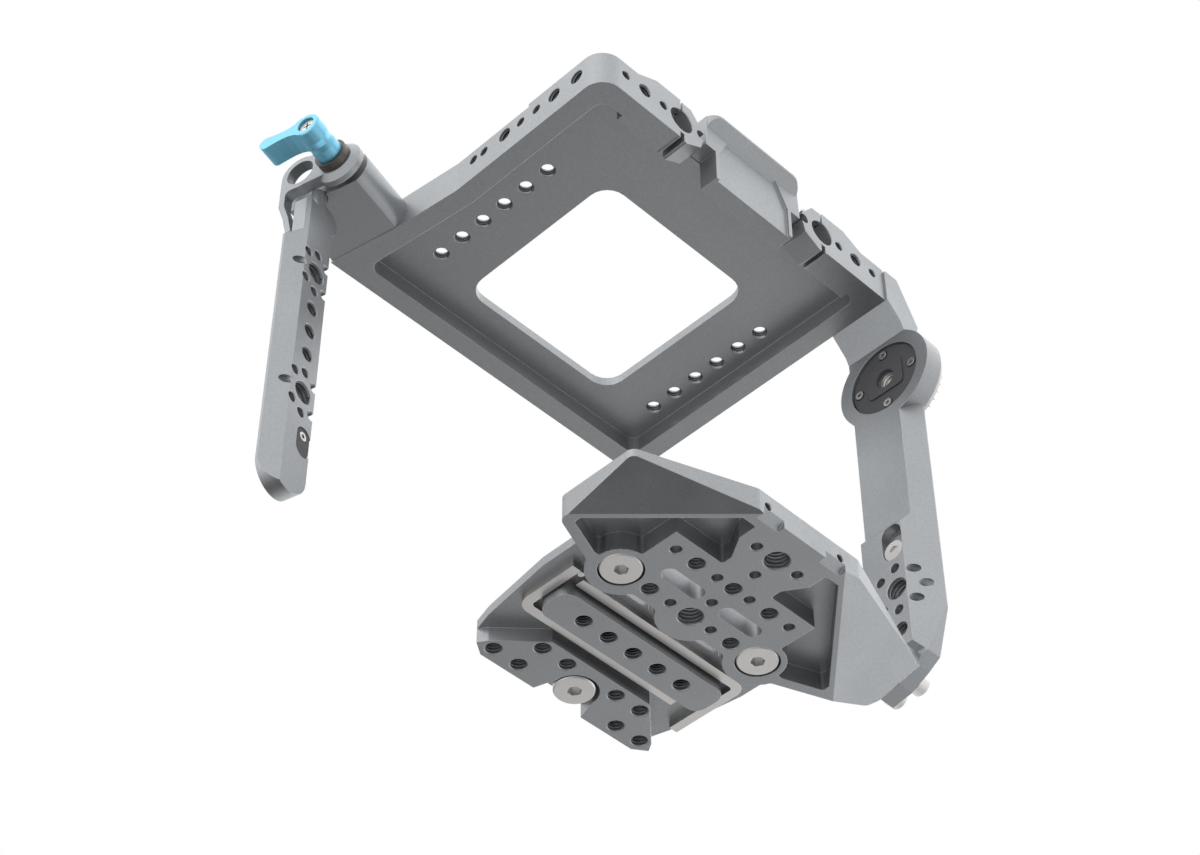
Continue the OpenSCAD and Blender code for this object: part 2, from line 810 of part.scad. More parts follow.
module top_plate() {
    color("gray") difference() {
        union() {
            translate([0, 0, top_z]) linear_extrude(rim_h) difference() {
                top_outline();
                top_inner();
                translate([-ear_out, -2 * top_front]) square([2 * ear_out, top_front + rim_w]);
            }
            translate([0, 0, top_web_z]) linear_extrude(top_web_t) difference() {
                top_outline();
                translate([-ear_out, -2 * top_front]) square([2 * ear_out, top_front + rim_w]);
            }
            for (side = [0, 1]) mirror([side, 0, 0]) translate([0, -top_front + rod_depth, 0])
                rotate([90, 0, 0]) linear_extrude(rod_depth) ear_profile();
        }
        for (side = [0, 1]) mirror([side, 0, 0]) {
            // Rod clamp's bore and slit
            translate([rod_x, -top_front, hole_z]) along_y() hole(rod_r, rod_depth);
            translate([rod_x - rod_slit / 2, -top_front - over, hole_z])
                cube([rod_slit, rod_depth + 2 * over, ear_top - hole_z + over]);
            translate([rod_x - rod_slit, -top_front - over, top_z - 2 * over])
                cube([2 * rod_slit, rod_depth + 2 * over, 3.3 * rod_slit + over]);
            // Notch through the inner end
            translate([rod_end + notch_in, -top_front, hole_z]) along_y() translate([0, 0, -over])
                cylinder(r = ear_notch_r, h = rod_depth + 2 * over);
            // Clamp screw's hole across the slit, its head sunk in the slanted end
            translate([rod_end - over, ear_screw_y - top_front, ear_screw_z]) along_x() {
                cylinder(r = rod_screw_r + seat_gap, h = ear_screw_l + over);
                cylinder(r = rod_head_r + seat_gap, h = rod_head_in + over);
            }
            // Front row
            translate([rod_x + front_row_share * grid, -top_front, hole_z]) along_y() hole(small_r, rim_w);
            for (n = front_pin_shares) translate([rod_x + n * grid, -top_front, hole_z]) along_y()
                hole(pin_r, rim_w);
        }
        // Side row
        for (y = side_row_y) translate([-top_left, y - top_front, hole_z]) along_x() hole(small_r, rim_w);
        for (y = side_pin_y) translate([-top_left, y - top_front, hole_z]) along_x() hole(pin_r, rim_w);
        // Windows of the web
        translate([-window_half, window_front, top_web_z - over]) linear_extrude(top_web_t + 2 * over)
            rounded(top_corner) square([2 * window_half, window_l]);
        // Threads of the web beside the window
        for (x = [-web_row_x, web_row_x]) for (i = [1:6]) translate([x, i * grid, top_web_z])
            hole(small_r, top_web_t);
        // Lower top edge of the left side
        translate([-top_rear_left - over, -rim_step_y, top_side_z - rim_step])
            cube([top_rear_left - top_left + rim_w + over, top_rear + rim_step_y + over, rim_step + over]);
    }
}

// Clamp screw of a rod clamp, its head in the slanted end
module rod_screw() {
    translate([rod_end + rod_head_in - rod_head_h, ear_screw_y - top_front, ear_screw_z]) along_x()
    difference() {
        union() {
            cylinder(r = rod_head_r, h = rod_head_h);
            cylinder(r = rod_screw_r, h = ear_screw_l - rod_head_in + rod_head_h - seat_gap);
        }
        translate([0, 0, -over]) cylinder(r = rod_screw_r, h = rod_head_h / 2 + over, $fn = 6);
    }
}
module rod_screw_left() {
    color("silver") mirror([1, 0, 0]) rod_screw();
}
module rod_screw_right() {
    color("silver") rod_screw();
}

// Side view of the nose, its lip to the front
module nose_profile() {
    polygon([
        [-top_front, nose_z], [-top_front + rim_w, nose_z], [-top_front + rim_w, nose_up - nose_edge],
        [-top_front + rim_w - nose_edge, nose_up], [-top_front - nose_reach, nose_up],
        [-top_front - nose_reach, nose_up - nose_lip], [-top_front, nose_up - nose_lip - nose_slope]]);
}

module nose() {
    color("gray") difference() {
        intersection() {
            translate([-nose_half, 0, 0]) rotate([90, 0, 90]) linear_extrude(2 * nose_half) nose_profile();
            translate([0, nose_reach, 0]) rotate([90, 0, 0]) linear_extrude(2 * top_front) polygon([
                [-pad_half_low, nose_z], [pad_half_low, nose_z],
                [pad_half_low, nose_wing_z], [nose_half, nose_wing_z],
                [nose_top_half, nose_up], [-nose_top_half, nose_up], [-nose_half, nose_wing_z],
                [-pad_half_low, nose_wing_z]]);
            // Rounded ends of the lip in plan
            translate([0, 0, nose_z - over]) linear_extrude(nose_up - nose_z + 2 * over) union() {
                translate([-nose_top_half, -top_front - nose_reach]) rounded(nose_round)
                    square([2 * nose_top_half, nose_reach + rim_w + nose_round]);
                translate([-nose_half, -top_front]) square([2 * nose_half, rim_w]);
            }
        }
        // Bare recessed pad
        intersection() {
            rotate([90, 0, 0]) linear_extrude(2 * top_front) polygon([
                [-pad_half_in, nose_z - over], [pad_half_in, nose_z - over], [pad_half_in, nose_wing_z],
                [pad_half_top, nose_up - nose_slope], [-pad_half_top, nose_up - nose_slope],
                [-pad_half_in, nose_wing_z]]);
            translate([-nose_half, 0, 0]) rotate([90, 0, 90]) linear_extrude(2 * nose_half) polygon([
                [-top_front - over, nose_z - over], [-top_front + nose_recess, nose_z - over],
                [-top_front + nose_recess, nose_up - nose_lip - nose_slope - nose_recess],
                [-top_front - over, nose_up - nose_lip - nose_slope + over]]);
        }
    }
}

module clamp_block() {
    color("dimgray") difference() {
        clamp_frame() difference() {
            union() {
                // Round head about the bolt
                translate([block_x, clamp_y, clamp_z]) along_x()
                    cylinder(r = clamp_r, h = block_root - block_x);
                // Foot along the plate's side
                translate([block_x, clamp_y, block_low]) cube([block_root - block_x, block_l, block_h]);
            }
            translate([block_x - over, clamp_y - clamp_r - over, block_low - clamp_r])
                cube([block_root - block_x + 2 * over, 2 * clamp_r, clamp_r]);
            // Bolt's thread
            translate([block_x - over, clamp_y, clamp_z]) along_x()
                cylinder(r = bolt_r + run_gap, h = bolt_deep + over);
            // Seat of the side arm's post
            translate([post_x, post_y, block_low - over])
                cylinder(r = post_r + seat_gap, h = post_top + seat_gap - block_low + over);
        }
        // Ends against the top plate's side
        translate([0, 0, top_z - over]) linear_extrude(2 * rim_h) top_outline();
    }
}

// Side view of the jaw, from the bolt: strap eye and hooked finger
module jaw_outline() {
    filleted(fillet_r) {
        translate([eye_y, -eye_z]) circle(r = eye_r + eye_rim);
        polygon([
            [0, jaw_low], [finger_y - finger_w, jaw_low], [finger_y - finger_w, finger_bend],
            [finger_y - finger_w - finger_lean, finger_knee], [finger_y - finger_w - finger_in, finger_tip],
            [finger_y - finger_in, finger_tip], [finger_y - finger_lean, finger_knee],
            [finger_y, finger_bend],
            [finger_y, 0], [eye_y, -eye_z], [eye_y, -eye_z - eye_r - eye_rim], [0, -jaw_low]]);
    }
}

module jaw() {
    color("dimgray") clamp_frame() difference() {
        translate([jaw_out, clamp_y, clamp_z]) difference() {
            union() {
                rotate([0, 90, 0]) rotate([0, 0, 90]) mirror([0, 1, 0]) linear_extrude(jaw_t) jaw_outline();
                // Bevelled hub round the bolt
                along_x() cylinder(r1 = clamp_r - jaw_bevel, r2 = clamp_r, h = jaw_bevel);
                translate([jaw_bevel, 0, 0]) along_x() cylinder(r = clamp_r, h = jaw_t - jaw_bevel);
            }
            translate([-over, eye_y, eye_z]) along_x() cylinder(r = eye_r, h = jaw_t + 2 * over);
            translate([-over, 0, 0]) along_x() cylinder(r = bolt_r + seat_gap, h = jaw_t + 2 * over);
        }
        // Seat of the post
        translate([post_x, post_y, block_low - clamp_r])
            cylinder(r = post_r + seat_gap, h = post_top + seat_gap - block_low + clamp_r);
    }
}

module clamp_bolt() {
    color("silver") clamp_frame() translate([lever_x - bolt_out, clamp_y, clamp_z]) along_x()
        cylinder(r = bolt_r, h = block_x + bolt_deep - seat_gap - lever_x + bolt_out);
}

module clamp_washer() {
    color("dimgray") clamp_frame() translate([jaw_out - washer_t, clamp_y, clamp_z]) along_x() difference() {
        cylinder(r = washer_r, h = washer_t);
        translate([0, 0, -over]) cylinder(r = bolt_r + seat_gap, h = washer_t + 2 * over);
    }
}

// Turned hub of the lever, from its base to its outer face
module lever_hub() {
    rotate_extrude() polygon([
        [0, 0], [hub_r * hub_shares[0], 0], [hub_r * hub_shares[0], hub_l * hub_shares[1]],
        [hub_r * hub_shares[2], hub_l * hub_shares[3]], [hub_r, hub_l * hub_shares[4]],
        [hub_r, hub_l - head_bevel], [hub_r - head_bevel, hub_l], [0, hub_l]]);
}

module lever() {
    color("skyblue") clamp_frame() translate([lever_x, clamp_y, clamp_z]) rotate([0, -90, 0]) difference() {
        union() {
            lever_hub();
            // Arm of the lever, waisted beside the hub
            translate([0, 0, hub_l - lever_w]) linear_extrude(lever_w) polygon(concat(
                [for (i = [0:4]) [-hub_r * arm_half_shares[i], lever_l * arm_place_shares[i]]],
                [[-lever_tip_r, lever_l - lever_tip_r], [lever_tip_r, lever_l - lever_tip_r]],
                [for (i = [4:-1:0]) [hub_r * arm_half_shares[i], lever_l * arm_place_shares[i]]]));
            translate([0, lever_l - lever_tip_r, hub_l - lever_w]) cylinder(r = lever_tip_r, h = lever_w);
        }
        translate([0, 0, -over]) cylinder(r = bolt_r + run_gap, h = hub_l + 2 * over);
        translate([0, 0, hub_l - lever_seat]) cylinder(r = lever_screw_r + seat_gap, h = lever_seat + over);
    }
}

module lever_screw() {
    color("silver") clamp_frame() translate([lever_x - bolt_out, clamp_y, clamp_z]) rotate([0, -90, 0])
    difference() {
        cylinder(r = lever_screw_r, h = lever_screw_h);
        translate([0, 0, lever_screw_h / 2]) for (a = [0, 90]) rotate([0, 0, a])
            translate([-lever_screw_r / 2, -mouth, 0]) cube([lever_screw_r, 2 * mouth, lever_screw_h]);
    }
}

// Front view of the side arm
module side_outline() {
    union() {
        translate([side_out + side_w / 2, side_low + side_w / 2]) circle(r = side_w / 2);
        translate([side_out, side_low + side_w / 2]) square([side_w, shoulder_z - side_low - side_w / 2]);
        translate([lobe_x, lobe_z]) circle(r = lobe_r);
        polygon([
            [side_out, shoulder_z], [side_out + side_w, shoulder_z],
            [side_out + side_w, side_top - neck_half], [side_out + side_w - neck_half, side_top],
            [side_out + neck_cut, side_top], [side_out + neck_cut, shoulder_z + neck_cut]]);
    }
}

module side_arm() {
    color("gray") clamp_frame() difference() {
        union() {
            translate([0, side_y + side_t, 0]) rotate([90, 0, 0]) linear_extrude(side_t) side_outline();
            translate([post_x, post_y, side_top - over]) cylinder(r = post_r, h = post_top - side_top + over);
        }
        // Bevel of the outer front edge
        translate([side_out + side_bevel, side_y, side_low - over]) rotate([0, 0, 225])
            translate([0, -side_w, 0]) cube([side_w, 2 * side_w, side_top]);
        for (z = [side_low_z, side_high_z]) translate([side_mid, side_y, z]) along_y() {
            hole(big_r, side_t);
            for (y = [-pin_off, pin_off]) translate([0, y, 0]) hole(pin_r, side_t);
            for (x = [-side_pin_x, side_pin_x]) for (y = [-side_pin_z, side_pin_z])
                translate([x, y, 0]) hole(pin_r, side_t);
            translate([-side_pin_out, 0, 0]) hole(pin_r, side_t);
        }
        for (i = [0:2]) translate([side_mid, side_y, side_high_z - side_step - i * grid]) along_y()
            hole(small_r, side_t);
        // Pocket of the insert
        translate([side_insert_x, side_y - over, insert_z]) rotate([-90, 90, 0])
            slot(insert_w - insert_half, insert_half - insert_w, insert_w, insert_deep + over);
        translate([side_insert_x, side_y, insert_z + side_screw_up]) along_y()
            cylinder(r = side_screw_r + seat_gap, h = side_t + over);
    }
}

module side_insert() {
    color("dimgray") clamp_frame() translate([side_insert_x, side_y + mouth, insert_z])
    rotate([-90, 90, 0]) difference() {
        slot(insert_w - insert_half, insert_half - insert_w, insert_w - seat_gap, insert_deep - mouth);
        translate([-side_screw_up, 0, -over]) cylinder(r = side_screw_r + seat_gap, h = insert_deep + over);
    }
}

module side_insert_screw() {
    color("silver") clamp_frame() translate([side_insert_x, side_y + mouth, insert_z + side_screw_up])
    along_y() difference() {
        cylinder(r = side_screw_r, h = side_t - 2 * mouth);
        translate([0, 0, -over]) cylinder(r = side_screw_r / 2, h = insert_deep / 2 + over, $fn = 6);
    }
}

base_plate();
centre_strip();
rail_front();
rail_rear();
rail_pin();
base_screw_left();
base_screw_right();
base_screw_rear();
right_arm();
foot_screw_front();
foot_screw_rear();
slot_screw();
rosette_disc();
rosette_insert();
rosette_bush();
rosette_screws();
top_plate();
rod_screw_left();
rod_screw_right();
nose();
clamp_block();
jaw();
clamp_bolt();
clamp_washer();
lever();
lever_screw();
side_arm();
side_insert();
side_insert_screw();
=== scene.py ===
import math

import bmesh
import bpy
from mathutils import Matrix, Vector


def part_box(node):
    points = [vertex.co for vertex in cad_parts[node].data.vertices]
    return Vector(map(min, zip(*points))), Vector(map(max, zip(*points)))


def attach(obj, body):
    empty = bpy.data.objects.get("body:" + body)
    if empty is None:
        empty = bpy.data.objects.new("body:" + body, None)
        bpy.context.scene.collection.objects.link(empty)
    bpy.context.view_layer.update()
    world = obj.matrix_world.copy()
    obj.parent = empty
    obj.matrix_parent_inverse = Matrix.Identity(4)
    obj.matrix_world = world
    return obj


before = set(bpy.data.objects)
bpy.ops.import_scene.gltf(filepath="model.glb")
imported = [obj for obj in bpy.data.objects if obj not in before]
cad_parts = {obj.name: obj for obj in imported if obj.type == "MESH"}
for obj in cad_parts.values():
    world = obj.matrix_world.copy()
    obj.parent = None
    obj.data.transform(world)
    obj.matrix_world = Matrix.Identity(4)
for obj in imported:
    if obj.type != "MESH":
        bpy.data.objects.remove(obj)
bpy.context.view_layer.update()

# Camera, light and floor
# The view from below the front left corner, as the photograph has it, in soft even light.
# The floor lies well below the camera, which looks up at the cage.
camera_data = bpy.data.cameras.new("camera")
camera_data.sensor_width = 36.0
camera_data.lens = 81.594
camera = bpy.data.objects.new("camera", camera_data)
bpy.context.scene.collection.objects.link(camera)
# It looks up at 45 degrees and is turned 45 degrees from the front, 0.98 m from the origin.
camera.matrix_world = Matrix((
    (0.70711, -0.5, -0.5, -0.54818),
    (-0.70711, -0.5, -0.5, -0.50195),
    (0.0, 0.70711, -0.70711, -0.64587),
    (0.0, 0.0, 0.0, 1.0),
))
bpy.context.scene.camera = camera
bpy.context.scene.view_settings.view_transform = "Standard"
bpy.context.scene.view_settings.look = "None"

# Studio light: a white surround, with soft light that is strongest from both sides and above.
# The strength each way is weighed by the square of that way's share of the direction.
world = bpy.data.worlds.new("studio")
bpy.context.scene.world = world
world.use_nodes = True
sky = world.node_tree
sky.nodes.clear()
sky_out = sky.nodes.new("ShaderNodeOutputWorld")
sky_mix = sky.nodes.new("ShaderNodeMixShader")
sky_light = sky.nodes.new("ShaderNodeBackground")
sky_white = sky.nodes.new("ShaderNodeBackground")
sky_path = sky.nodes.new("ShaderNodeLightPath")
sky_coord = sky.nodes.new("ShaderNodeTexCoord")
sky_sum = sky.nodes.new("ShaderNodeMath")
sky_sum.operation = "ADD"
light_from_high = (2.1, 0.45, 1.7)
light_from_low = (1.8, 0.8, 0.03)
light_sides = ((1.0, light_from_high), (-1.0, light_from_low))
for side, (sign, strength) in enumerate(light_sides):
    toward = sky.nodes.new("ShaderNodeVectorMath")
    toward.operation = "MULTIPLY"
    toward.inputs[1].default_value = (sign, sign, sign)
    lit = sky.nodes.new("ShaderNodeVectorMath")
    lit.operation = "MAXIMUM"
    lit.inputs[1].default_value = (0.0, 0.0, 0.0)
    square = sky.nodes.new("ShaderNodeVectorMath")
    square.operation = "MULTIPLY"
    weigh = sky.nodes.new("ShaderNodeVectorMath")
    weigh.operation = "DOT_PRODUCT"
    weigh.inputs[1].default_value = strength
    sky.links.new(sky_coord.outputs["Generated"], toward.inputs[0])
    sky.links.new(toward.outputs["Vector"], lit.inputs[0])
    sky.links.new(lit.outputs["Vector"], square.inputs[0])
    sky.links.new(lit.outputs["Vector"], square.inputs[1])
    sky.links.new(square.outputs["Vector"], weigh.inputs[0])
    sky.links.new(weigh.outputs["Value"], sky_sum.inputs[side])
sky_white.inputs["Color"].default_value = (1.0, 1.0, 1.0, 1.0)
sky_white.inputs["Strength"].default_value = 1.0
sky_light.inputs["Color"].default_value = (0.98, 0.99, 1.0, 1.0)
sky.links.new(sky_sum.outputs[0], sky_light.inputs["Strength"])
sky.links.new(sky_path.outputs["Is Camera Ray"], sky_mix.inputs[0])
sky.links.new(sky_light.outputs[0], sky_mix.inputs[1])
sky.links.new(sky_white.outputs[0], sky_mix.inputs[2])
sky.links.new(sky_mix.outputs[0], sky_out.inputs[0])

# The floor is a pale sheet that throws no light back onto the cage.
floor_half = 6.0
floor_z = -1.4
floor_turns = ((-1, -1), (1, -1), (1, 1), (-1, 1))
floor_corners = [(x * floor_half, y * floor_half, floor_z) for x, y in floor_turns]
floor_mesh = bpy.data.meshes.new("floor")
floor_mesh.from_pydata(floor_corners, [], [(0, 1, 2, 3)])
floor = bpy.data.objects.new("floor", floor_mesh)
bpy.context.scene.collection.objects.link(floor)
floor_paint = bpy.data.materials.new("floor_paint")
floor_paint.use_nodes = True
floor_shader = floor_paint.node_tree.nodes["Principled BSDF"]
floor_shader.inputs["Base Color"].default_value = (0.9, 0.9, 0.9, 1.0)
floor_shader.inputs["Roughness"].default_value = 0.9
floor_mesh.materials.append(floor_paint)
floor.visible_diffuse = False
floor.visible_glossy = False


# Base plate
# One milled aluminium plate with pads, wings and pockets, bead blasted and anodised grey.
# Three large flat-headed screws pass up through it, and it carries the rails and the right arm.
def metal(name, colour, grain_colour, metallic, roughness, grain_size, grain_depth, edge_radius):
    """A finish with fine grain, slight drift in its gloss and softly broken edges, with a painted
    highlight that makes those edges paler.
    """
    grain_detail = 3.0
    grain_strength = 0.35
    cloud_size = 35.0
    cloud_detail = 4.0
    cloud_low, cloud_high = 0.3, 0.7
    gloss_drift = 0.05
    edge_rays = 6
    # Painted highlight: the edges' colour is mixed towards a paler one where the bevel's normal
    # turns away from the face's.
    highlight_starts, highlight_full = 0.995, 0.80
    highlight_share = 0.45
    highlight_gain = 1.7
    made = bpy.data.materials.new(name)
    made.use_nodes = True
    tree = made.node_tree
    shader = tree.nodes["Principled BSDF"]
    coord = tree.nodes.new("ShaderNodeTexCoord")
    grain = tree.nodes.new("ShaderNodeTexNoise")
    grain.inputs["Scale"].default_value = grain_size
    grain.inputs["Detail"].default_value = grain_detail
    cloud = tree.nodes.new("ShaderNodeTexNoise")
    cloud.inputs["Scale"].default_value = cloud_size
    cloud.inputs["Detail"].default_value = cloud_detail
    tint = tree.nodes.new("ShaderNodeMix")
    tint.data_type = "RGBA"
    tint.inputs["A"].default_value = (*colour, 1.0)
    tint.inputs["B"].default_value = (*grain_colour, 1.0)
    rough = tree.nodes.new("ShaderNodeMapRange")
    rough.inputs["From Min"].default_value = cloud_low
    rough.inputs["From Max"].default_value = cloud_high
    rough.inputs["To Min"].default_value = roughness - gloss_drift
    rough.inputs["To Max"].default_value = roughness + gloss_drift
    bump = tree.nodes.new("ShaderNodeBump")
    bump.inputs["Strength"].default_value = grain_strength
    bump.inputs["Distance"].default_value = grain_depth
    edge = tree.nodes.new("ShaderNodeBevel")
    edge.samples = edge_rays
    edge.inputs["Radius"].default_value = edge_radius
    face = tree.nodes.new("ShaderNodeNewGeometry")
    turn = tree.nodes.new("ShaderNodeVectorMath")
    turn.operation = "DOT_PRODUCT"
    # Painted highlight mask: how far the bevel's normal turns from the face's sets how much paler
    # colour is mixed in.
    edge_highlight_mask = tree.nodes.new("ShaderNodeMapRange")
    edge_highlight_mask.inputs["From Min"].default_value = highlight_starts
    edge_highlight_mask.inputs["From Max"].default_value = highlight_full
    edge_highlight_mask.inputs["To Min"].default_value = 0.0
    edge_highlight_mask.inputs["To Max"].default_value = highlight_share
    highlight_mix = tree.nodes.new("ShaderNodeMix")
    highlight_mix.data_type = "RGBA"
    highlight_colour = [min(1.0, highlight_gain * part) for part in grain_colour]
    highlight_mix.inputs["B"].default_value = (*highlight_colour, 1.0)
    tree.links.new(coord.outputs["Object"], grain.inputs["Vector"])
    tree.links.new(coord.outputs["Object"], cloud.inputs["Vector"])
    tree.links.new(grain.outputs["Fac"], tint.inputs["Factor"])
    tree.links.new(edge.outputs["Normal"], turn.inputs[0])
    tree.links.new(face.outputs["Normal"], turn.inputs[1])
    tree.links.new(turn.outputs["Value"], edge_highlight_mask.inputs["Value"])
    tree.links.new(edge_highlight_mask.outputs["Result"], highlight_mix.inputs["Factor"])
    tree.links.new(tint.outputs["Result"], highlight_mix.inputs["A"])
    tree.links.new(highlight_mix.outputs["Result"], shader.inputs["Base Color"])
    tree.links.new(cloud.outputs["Fac"], rough.inputs["Value"])
    tree.links.new(rough.outputs["Result"], shader.inputs["Roughness"])
    tree.links.new(grain.outputs["Fac"], bump.inputs["Height"])
    tree.links.new(edge.outputs["Normal"], bump.inputs["Normal"])
    tree.links.new(bump.outputs["Normal"], shader.inputs["Normal"])
    shader.inputs["Metallic"].default_value = metallic
    return made


def finish_node(node, material):
    """Gives one solid piece its finish."""
    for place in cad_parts[node].material_slots:
        place.material = material


mm = 0.001
grey_anodised = metal(
    "grey_anodised", colour=(0.275, 0.284, 0.293), grain_colour=(0.41, 0.42, 0.43),
    metallic=0.75, roughness=0.42,
    grain_size=1300.0, grain_depth=0.06 * mm, edge_radius=0.35 * mm,
)
finish_node("base_plate", grey_anodised)


def thread_tree():
    """Ridges of a thread on each point: a wound wire with a square section, made real."""
    steps_per_turn = 28
    ridge_sides = 4
    tree = bpy.data.node_groups.new("thread_ridges", "GeometryNodeTree")
    tree.interface.new_socket("Geometry", in_out="INPUT", socket_type="NodeSocketGeometry")
    for title in ("Bore radius", "Pitch", "Depth", "Ridge"):
        tree.interface.new_socket(title, in_out="INPUT", socket_type="NodeSocketFloat")
    tree.interface.new_socket("Material", in_out="INPUT", socket_type="NodeSocketMaterial")
    tree.interface.new_socket("Geometry", in_out="OUTPUT", socket_type="NodeSocketGeometry")
    given = tree.nodes.new("NodeGroupInput")
    out = tree.nodes.new("NodeGroupOutput")
    turns = tree.nodes.new("ShaderNodeMath")
    turns.operation = "DIVIDE"
    wire = tree.nodes.new("GeometryNodeCurveSpiral")
    wire.inputs["Resolution"].default_value = steps_per_turn
    section = tree.nodes.new("GeometryNodeCurvePrimitiveCircle")
    section.inputs["Resolution"].default_value = ridge_sides
    sweep = tree.nodes.new("GeometryNodeCurveToMesh")
    sweep.inputs["Fill Caps"].default_value = True
    spread = tree.nodes.new("GeometryNodeInstanceOnPoints")
    real = tree.nodes.new("GeometryNodeRealizeInstances")
    coat = tree.nodes.new("GeometryNodeSetMaterial")
    tree.links.new(given.outputs["Depth"], turns.inputs[0])
    tree.links.new(given.outputs["Pitch"], turns.inputs[1])
    tree.links.new(turns.outputs[0], wire.inputs["Rotations"])
    tree.links.new(given.outputs["Bore radius"], wire.inputs["Start Radius"])
    tree.links.new(given.outputs["Bore radius"], wire.inputs["End Radius"])
    tree.links.new(given.outputs["Depth"], wire.inputs["Height"])
    tree.links.new(given.outputs["Ridge"], section.inputs["Radius"])
    tree.links.new(wire.outputs["Curve"], sweep.inputs["Curve"])
    tree.links.new(section.outputs["Curve"], sweep.inputs["Profile Curve"])
    tree.links.new(given.outputs["Geometry"], spread.inputs["Points"])
    tree.links.new(sweep.outputs["Mesh"], spread.inputs["Instance"])
    tree.links.new(spread.outputs["Instances"], real.inputs["Geometry"])
    tree.links.new(real.outputs["Geometry"], coat.inputs["Geometry"])
    tree.links.new(given.outputs["Material"], coat.inputs["Material"])
    tree.links.new(coat.outputs["Geometry"], out.inputs["Geometry"])
    return tree


ridges = thread_tree()


def grown(name, tree, spots, sizes, body, place=Matrix.Identity(4)):
    """A plain mesh grown by a tree on the given spots, set in place and carried by a body."""
    seed = bpy.data.meshes.new(name + "_seed")
    seed.from_pydata([Vector(spot) for spot in spots], [], [])
    holder = bpy.data.objects.new(name + "_holder", seed)
    bpy.context.scene.collection.objects.link(holder)
    grower = holder.modifiers.new("grow", "NODES")
    grower.node_group = tree
    for item in tree.interface.items_tree:
        if item.in_out == "INPUT" and item.name in sizes:
            grower[item.identifier] = sizes[item.name]
    bpy.context.view_layer.update()
    ready = holder.evaluated_get(bpy.context.evaluated_depsgraph_get())
    mesh = bpy.data.meshes.new_from_object(ready)
    bpy.data.objects.remove(holder)
    mesh.transform(place)
    mesh.name = name
    piece = bpy.data.objects.new(name, mesh)
    bpy.context.scene.collection.objects.link(piece)
    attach(piece, body)
    return piece


# The small threads are 1/4-20 and the large ones 3/8-16: radius, pitch and half a ridge's height.
# They begin and end a little inside their holes.
# The threads' colour is painted shade: far darker than the plate they are cut in, it stands in for
# the shade inside the holes.
thread_painted_shade = metal(
    "thread_painted_shade", colour=(0.13, 0.135, 0.14), grain_colour=(0.19, 0.195, 0.20),
    metallic=0.7, roughness=0.38,
    grain_size=3000.0, grain_depth=0.04 * mm, edge_radius=0.1 * mm,
)
small_thread = {
    "Bore radius": 3.175 * mm, "Pitch": 1.27 * mm, "Ridge": 0.56 * mm, "Material": thread_painted_shade,
}
large_thread = {
    "Bore radius": 4.7625 * mm, "Pitch": 1.5875 * mm, "Ridge": 0.70 * mm, "Material": thread_painted_shade,
}
thread_in = 0.75 * mm


def threads(name, mouths, way, deep, thread, body="cage"):
    """Threads in holes of one depth, cut from their mouths along one way."""
    turn = Vector((0.0, 0.0, 1.0)).rotation_difference(Vector(way)).to_matrix().to_4x4()
    seeds = [turn.inverted() @ (Vector(mouth) + thread_in * Vector(way)) for mouth in mouths]
    return grown(name, ridges, seeds, {**thread, "Depth": deep - 2 * thread_in}, body, turn)


up = (0.0, 0.0, 1.0)
grid = 12.7 * mm
pin_off = 10.55 * mm
base_deep = 10.6 * mm
large_off = 4 * pin_off
small_off = 2 * pin_off
corner_off = 1.8 * pin_off
row_y = 50.5 * mm
threads("base_large_threads", [(0, 0, 0), (0, -large_off, 0)], up, base_deep, large_thread)
base_small = [(-small_off, 0, 0), (small_off, 0, 0), (0, -small_off, 0)]
base_small += [(side * corner_off, -small_off, 0) for side in (-1, 1)]
for side in (-1, 1):
    for step, row in ((1, 0), (2, 0), (2, 1), (3, 1)):
        base_small.append((side * step * grid, row_y + row * grid, 0))
threads("base_small_threads", base_small, up, base_deep, small_thread)

# Centre strip
# A grey anodised aluminium bar with a row of five threads.
# It is seated on the base plate's web, between the two steel rails.
finish_node("centre_strip", grey_anodised)
strip_y = 29.1 * mm
strip_deep = 6.5 * mm
strip_mouths = [(step * grid, strip_y, 0) for step in range(-2, 3)]
threads("strip_threads", strip_mouths, up, strip_deep, small_thread)

# Rails, screws, rosette disc and bush
# Stainless steel strips, turned heads and a toothed disc, machined and left bare.
# The rails lie against the base plate beside the centre strip, and the screws sit in recesses.
steel = metal(
    "steel", colour=(0.56, 0.54, 0.52), grain_colour=(0.65, 0.63, 0.61),
    metallic=1.0, roughness=0.32,
    grain_size=1800.0, grain_depth=0.03 * mm, edge_radius=0.2 * mm,
)
steel_nodes = (
    "rail_front", "rail_rear", "rail_pin",
    "base_screw_left", "base_screw_right", "base_screw_rear",
    "foot_screw_front", "foot_screw_rear", "slot_screw",
    "rosette_disc", "rosette_bush", "rosette_screws",
    "rod_screw_left", "rod_screw_right",
    "clamp_bolt", "lever_screw", "side_insert_screw",
)
for node in steel_nodes:
    finish_node(node, steel)

# Right arm
# An upright milled arm of the same grey aluminium, screwed to the base plate at its foot.
# It has a large locating thread low down, a small one under it, and the rosette's housing on top.
finish_node("right_arm", grey_anodised)
outward = (1.0, 0.0, 0.0)
arm_inner = 87.1 * mm
arm_deep = 10.8 * mm
arm_line = -28.1 * mm
arm_large_z = 4 * grid
arm_small_z = arm_large_z - 1.62 * grid
threads("arm_large_thread", [(arm_inner, arm_line, arm_large_z)], outward, arm_deep, large_thread)
threads("arm_small_thread", [(arm_inner, arm_line, arm_small_z)], outward, arm_deep, small_thread)

